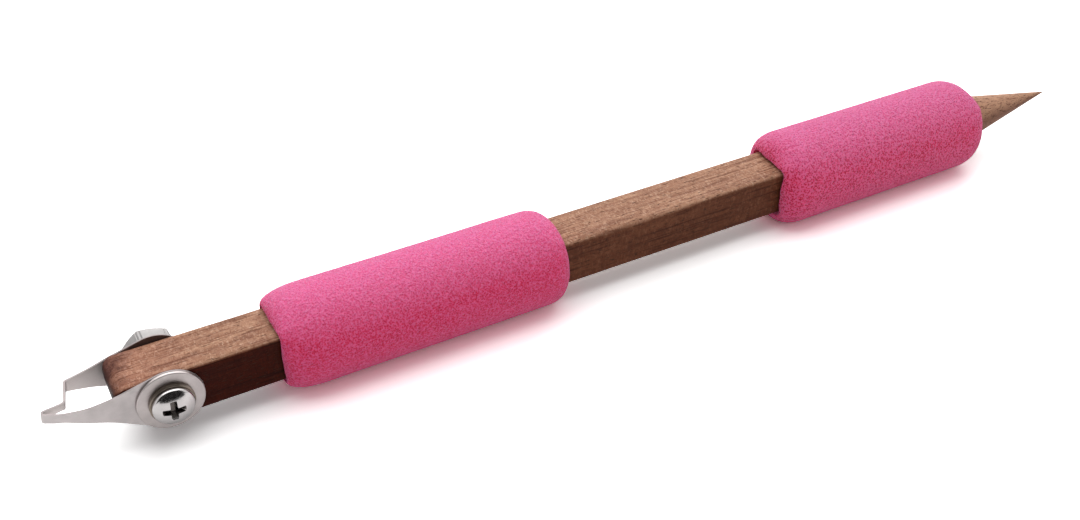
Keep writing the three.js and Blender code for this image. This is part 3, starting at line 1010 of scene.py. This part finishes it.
def along_handle(s, x, places, to_low, to_high):
    """A change from one value to another between two places along the handle."""
    low, high = (AXIS_PLACE.x + place * MM for place in places)
    return s.remap(x, low, high, to_low, to_high)


def screw_distance_squared(s):
    """The square of the distance from the clamp screw's axis, in metres."""
    x = s.minus(s.place("X"), AXIS_PLACE.x)
    z = s.minus(s.place("Z"), AXIS_PLACE.z)
    return s.plus(s.times(x, x), s.times(z, z))


def near_screw(s, squared, reaches):
    """1 within the nearer of two reaches from the screw's axis, and 0 beyond the farther."""
    near, far = ((reach * MM) ** 2 for reach in reaches)
    return s.remap(squared, near, far, 1.0, 0.0)


def foam_material(name, colours, grit, pebble_scale):
    """Closed-cell foam: a fine pebbled skin, paler on the lumps, with painted light on its upper
    side.
    """
    s = Shader(name)
    pebbles = s.noise(pebble_scale, detail=3, roughness=0.6)
    pits = s.cells(pebble_scale + FOAM_PIT_FINENESS)
    patches = s.noise(0.16, detail=2)
    tone = s.mix(0.45, pebbles, pits)
    side = FOAM_TONE_SPREAD / grit
    stops = (FOAM_MIDDLE_TONE - side, FOAM_MIDDLE_TONE, FOAM_MIDDLE_TONE + side)
    colour = s.ramp(tone, zip(stops, colours))
    colour = s.mix(s.remap(patches, 0.3, 0.7, to_high=0.05), colour, FOAM_PATCH_COLOUR)
    # Painted light: the upward-facing skin is mixed towards paler colours, as if more lit from
    # above
    paler = s.ramp(tone, zip(stops, FOAM_PAINTED_TOP_LIGHT_COLOURS))
    colour = s.mix(s.remap(s.facing("Z"), 0.35, 1.0, to_high=0.85), colour, paler)
    lumps = s.bump(pebbles, distance=0.36 * grit, strength=1.0)
    s.put(
        Base_Color=colour, Roughness=0.6, Specular_IOR_Level=0.08,
        Specular_Tint=(0.6, 0.6, 1.0, 1),
        Sheen_Weight=0.4, Sheen_Roughness=0.35, Sheen_Tint=(0.9, 0.6, 1.0, 1),
        Subsurface_Weight=0.25, Subsurface_Radius=(1.0, 0.2, 0.35), Subsurface_Scale=1.6 * MM,
        Normal=s.bump(s.times(pits, 0.6), distance=0.16, strength=0.8, normal=lumps),
    )
    return s.material


def wood_grain_colour(s, x, streaks, fleck, mottle):
    """Streaks and hair lines along the grain, and flecks across it, calmer on the paler point."""
    hair = s.noise(1.0, detail=4, roughness=0.65, distortion=0.3, stretch=(0.10, 2.6, 2.6))
    calm = along_handle(s, x, WOOD_POINT_PLACES, 1.0, 0.4)
    colour = s.ramp(streaks, WOOD_STREAK_COLOURS)
    pale = s.times(s.remap(fleck, 0.52, 0.66, to_high=0.65), calm)
    colour = s.mix(pale, colour, WOOD_PALE_FLECK)
    dark = s.times(s.remap(fleck, 0.46, 0.32, to_high=0.6), calm)
    colour = s.mix(dark, colour, WOOD_DARK_FLECK)
    sanded = along_handle(s, x, WOOD_POINT_PLACES, 0.0, 0.5)
    colour = s.mix(sanded, colour, WOOD_SANDED_COLOUR)
    colour = s.mix(s.remap(mottle, 0.45, 0.70, to_high=0.35), colour, WOOD_MOTTLE_COLOUR)
    return s.mix(s.remap(hair, 0.54, 0.64, to_high=0.75), colour, WOOD_HAIR_COLOUR)


def wood_painted_side_shade_mask(s, x):
    """1 where painted shade darkens the handle's sides and underside, less on its point, and 0 on
    its top.
    """
    away = s.minus(1.0, s.remap(s.facing("Z"), 0.15, 0.7))
    return s.times(away, along_handle(s, x, WOOD_POINT_PLACES, 1.0, 0.75))


def wood_shaded_colour(s, x, colour, mottle):
    """Painted shade on the sides, a painted shadow before the front grip, and a nose darkened by
    end grain and painted shade.
    """
    # Painted shade: the sides and underside are darkened as if less lit than the top
    side = wood_painted_side_shade_mask(s, x)
    colour = s.mix(side, colour, WOOD_PAINTED_SIDE_SHADE, "MULTIPLY")
    # Painted shadow: the sides before the front grip are darkened further for the grip's and
    # hardware's shadow
    front = along_handle(s, x, WOOD_PAINTED_FRONT_SHADOW_PLACES, 1.0, 0.0)
    colour = s.mix(s.times(side, front), colour, WOOD_PAINTED_FRONT_SHADOW, "MULTIPLY")
    # The nose's darkening is its end grain together with painted shade where the rounding is lit
    # less
    slant = s.times(s.place("Y"), WOOD_NOSE_GRAIN_AND_SHADE_SLANT)
    edge = s.plus(s.times(mottle, WOOD_NOSE_GRAIN_AND_SHADE_WANDER * MM), slant)
    smudge = along_handle(s, s.minus(x, edge), WOOD_NOSE_GRAIN_AND_SHADE_PLACES, 1.0, 0.0)
    colour = s.mix(smudge, colour, WOOD_NOSE_GRAIN_AND_SHADE, "MULTIPLY")
    handled = along_handle(s, x, WOOD_HANDLED_PLACES, 1.0, 0.0)
    return s.mix(handled, colour, WOOD_HANDLED_SHADE, "MULTIPLY")


def wood_material():
    """Walnut: its grain, painted shade on its sides, a nose darkened by end grain and painted
    shade, and short dark pores along it.
    """
    s = Shader("dark_walnut")
    x = s.place("X")
    streaks = s.noise(1.6, detail=5, roughness=0.6, distortion=0.4, stretch=(0.035, 0.55, 0.55))
    pores = s.noise(1.0, detail=2, roughness=0.4, stretch=(0.9, 6.0, 6.0))
    fleck = s.noise(1.0, detail=3, roughness=0.7, distortion=0.9, stretch=(2.6, 1.2, 1.2))
    mottle = s.noise(0.55, detail=3)
    colour = wood_grain_colour(s, x, streaks, fleck, mottle)
    colour = wood_shaded_colour(s, x, colour, mottle)
    pore_mask = s.remap(pores, 0.60, 0.68)
    colour = s.mix(s.times(pore_mask, 0.75), colour, WOOD_PORE_COLOUR)
    height = s.minus(s.times(fleck, 0.35), pore_mask)
    s.put(
        Base_Color=colour, Roughness=s.remap(streaks, 0.3, 0.7, 0.40, 0.52),
        Specular_IOR_Level=0.06, Normal=s.bump(height, distance=0.05, strength=0.5),
    )
    return s.material


def recess_mask(s):
    """0 on the screw's skin, rising to 1 down in the cross recess of its head, where shade is
    painted.
    """
    squared = screw_distance_squared(s)
    radius = HEAD_DOME_RADIUS * MM
    dome = s.minus(radius, s.math("SQRT", s.minus(radius * radius, squared)))
    depth = s.minus(s.minus(s.place("Y"), HEAD_TOP * MM), dome)
    shallow, deep = (level * MM for level in RECESS_SHADE_DEPTHS)
    inside = near_screw(s, squared, RECESS_SHADE_REACHES)
    return s.times(s.remap(depth, shallow, deep), inside)


def lug_painted_shade_mask(s):
    """1 on the lugs' inner faces, where they lie on the wood and get painted shade, and 0 on the
    rest.
    """
    lug = near_screw(s, screw_distance_squared(s), LUG_PAINTED_SHADE_REACHES)
    low, high = ((LEG_FACE + depth) * MM for depth in LUG_PAINTED_SHADE_DEPTHS)
    return s.times(lug, s.remap(s.math("ABSOLUTE", s.place("Y")), low, high, 1.0, 0.0))


def inner_face_painted_light_mask(s):
    """1 on the faces inside the blade's loop that look towards the screw's head, which get painted
    light, 0 on the rest.
    """
    low, high = (side * MM for side in PAINTED_LIGHT_INNER_SIDES)
    return s.times(s.remap(s.place("Y"), low, high), s.remap(s.facing("Y"), -0.2, -0.6))


def recess_shade(s, tone, rough):
    """A screw's colour and roughness, with painted shade and dullness in its recess."""
    hollow = recess_mask(s)
    # Painted shade: the recess is darkened where shade falls into it
    tone = s.mix(s.times(hollow, 0.86), tone, RECESS_PAINTED_SHADE_COLOUR)
    return tone, s.plus(rough, s.times(hollow, 0.15))


def blade_edges_and_painted_light(s, tone, rough):
    """A blade's colour and roughness: painted light inside the loop, dull cut edges, painted shade
    on the lugs.
    """
    # Painted light: the loop's inner faces are made paler to stand in for the light they mirror
    inner = inner_face_painted_light_mask(s)
    tone = s.mix(inner, tone, BLADE_PAINTED_LIGHT_INNER_COLOUR)
    rough = s.plus(rough, s.times(inner, 0.12))
    edge = s.remap(s.math("ABSOLUTE", s.facing("Z")), 0.45, 0.8)
    tone = s.mix(edge, tone, BLADE_EDGE_SHADE, "MULTIPLY")
    # Painted shade: the lugs' inner faces beside the wood are darkened
    lug_shade = lug_painted_shade_mask(s)
    tone = s.mix(s.times(lug_shade, 0.85), tone, BLADE_PAINTED_SHADE_COLOUR)
    return tone, s.plus(rough, s.times(s.math("MAXIMUM", edge, lug_shade), 0.15))


def steel_material(name, colour, roughness, grain, wear_and_painted_light=None):
    """Steel with fine rolling marks and faint smudges, and the extra marks passed to it: dull
    edges, painted light and painted shade.
    """
    s = Shader(name)
    marks = s.noise(1.0, detail=3, roughness=0.6, stretch=grain)
    smudge = s.noise(0.45, detail=3)
    smudged = tuple(c * STEEL_SMUDGE_SHARE for c in colour)
    tone = s.mix(s.remap(smudge, 0.35, 0.7), colour, smudged)
    dulled = s.remap(smudge, 0.3, 0.7, roughness, roughness + 0.08)
    rough = s.plus(s.remap(marks, 0.3, 0.7, -0.05, 0.05), dulled)
    if wear_and_painted_light:
        tone, rough = wear_and_painted_light(s, tone, rough)
    normal = s.bump(marks, distance=0.004, strength=0.3)
    s.put(Base_Color=tone, Metallic=1.0, Roughness=rough, Normal=normal)
    return s.material


def dress(obj, material):
    obj.data.materials.clear()
    obj.data.materials.append(material)


def build_camera():
    lens = bpy.data.cameras.new("photo_camera")
    lens.lens = CAMERA_LENS
    lens.sensor_width = SENSOR_WIDTH
    lens.clip_start = 0.01
    lens.clip_end = 20
    camera = bpy.data.objects.new("photo_camera", lens)
    camera.location = CAMERA_PLACE
    camera.rotation_euler = Euler(CAMERA_TURN)
    bpy.context.scene.collection.objects.link(camera)
    bpy.context.scene.camera = camera


def backdrop_rays(tree):
    """Two masks: rays from the camera, and these with the rays off gloss or through glass."""
    path = tree.nodes.new("ShaderNodeLightPath")
    seen = path.outputs["Is Camera Ray"]
    backdrop = seen
    for name in ("Is Glossy Ray", "Is Transmission Ray"):
        most = tree.nodes.new("ShaderNodeMath")
        most.operation = "MAXIMUM"
        tree.links.new(backdrop, most.inputs[0])
        tree.links.new(path.outputs[name], most.inputs[1])
        backdrop = most.outputs[0]
    return seen, backdrop


def build_floor():
    """A pale floor that shows white where no shadow falls."""
    reach = FLOOR_REACH / MM
    sides = ((-reach, -reach), (reach, -reach), (reach, reach), (-reach, reach))
    floor = make_object("floor", [(x, y, -AXIS_HEIGHT) for x, y in sides], [(0, 1, 2, 3)])
    s = Shader("pale_floor")
    seen, backdrop = backdrop_rays(s.tree)
    colour = s.mix(backdrop, FLOOR_COLOUR, FLOOR_MIRRORED_COLOUR)
    colour = s.mix(seen, colour, FLOOR_SEEN_COLOUR)
    s.put(Base_Color=colour, Roughness=0.9, Specular_IOR_Level=0.0)
    dress(floor, s.material)


def build_card():
    """A dark card on the camera's side that only shiny surfaces mirror."""
    card = make_object("dark_card", CARD_CORNERS, [(0, 1, 2, 3)])
    s = Shader("card_black")
    s.put(Base_Color=CARD_COLOUR, Roughness=1.0, Specular_IOR_Level=0.0)
    dress(card, s.material)
    for kind in ("camera", "diffuse", "shadow", "transmission", "volume_scatter"):
        setattr(card, f"visible_{kind}", False)


def build_world():
    """A white surround, dimmer as a light than as a background."""
    world = bpy.data.worlds.new("studio")
    bpy.context.scene.world = world
    world.use_nodes = True
    tree = world.node_tree
    background = tree.nodes["Background"]
    background.inputs["Color"].default_value = (1, 1, 1, 1)
    lift = tree.nodes.new("ShaderNodeMapRange")
    lift.inputs["To Min"].default_value = WORLD_STRENGTH
    lift.inputs["To Max"].default_value = 1.0
    tree.links.new(backdrop_rays(tree)[1], lift.inputs["Value"])
    tree.links.new(lift.outputs["Result"], background.inputs["Strength"])


def soft_lamp(name, place, size, power):
    """A wide lamp that looks at the tool, placed and sized in metres."""
    light = bpy.data.lights.new(name, "AREA")
    light.shape = "RECTANGLE"
    light.size, light.size_y = size
    light.energy = power
    lamp = bpy.data.objects.new(name, light)
    lamp.location = place
    lamp.rotation_euler = (-Vector(place)).to_track_quat("-Z", "Y").to_euler()
    bpy.context.scene.collection.objects.link(lamp)


bpy.context.scene.view_settings.view_transform = "Standard"
build_camera()
build_floor()
build_world()
build_card()
soft_lamp("overhead_lamp", place=(0.05, 0.22, 0.95), size=(1.5, 1.2), power=8.5)
soft_lamp("back_lamp", place=(0.385, 0.70, 0.62), size=(1.3, 0.7), power=4.0)

front_foam = foam_material("pink_foam_front", FRONT_FOAM_COLOURS, grit=1.0, pebble_scale=2.9)
rear_foam = foam_material("pink_foam_rear", REAR_FOAM_COLOURS, grit=1.85, pebble_scale=2.5)
wood = wood_material()
blade_steel = steel_material(
    "satin_blade_steel", BLADE_COLOUR, roughness=0.42, grain=(0.3, 9.0, 6.0), wear_and_painted_light=blade_edges_and_painted_light,
)
washer_steel = steel_material(
    "bright_washer_steel", WASHER_COLOUR, roughness=0.36, grain=(5.0, 5.0, 5.0),
)
spring_steel = steel_material(
    "dull_spring_steel", SPRING_WASHER_COLOUR, roughness=0.28, grain=(6.0, 6.0, 6.0),
)
nut_steel = steel_material(
    "plated_nut_steel", NUT_COLOUR, roughness=0.48, grain=(4.0, 4.0, 4.0),
)
screw_steel = steel_material(
    "polished_screw_steel", SCREW_COLOUR, roughness=0.11, grain=(4.0, 4.0, 4.0), wear_and_painted_light=recess_shade,
)

dress(build_handle(), wood)
dress(build_grip("foam_grip_front", "front_grip", FRONT_GRIP), front_foam)
dress(build_grip("foam_grip_rear", "rear_grip", REAR_GRIP), rear_foam)
dress(build_blade(), blade_steel)
dress(build_flat_washer(), washer_steel)
dress(build_lock_washer(), spring_steel)
dress(build_screw(), screw_steel)
dress(build_nut(), nut_steel)
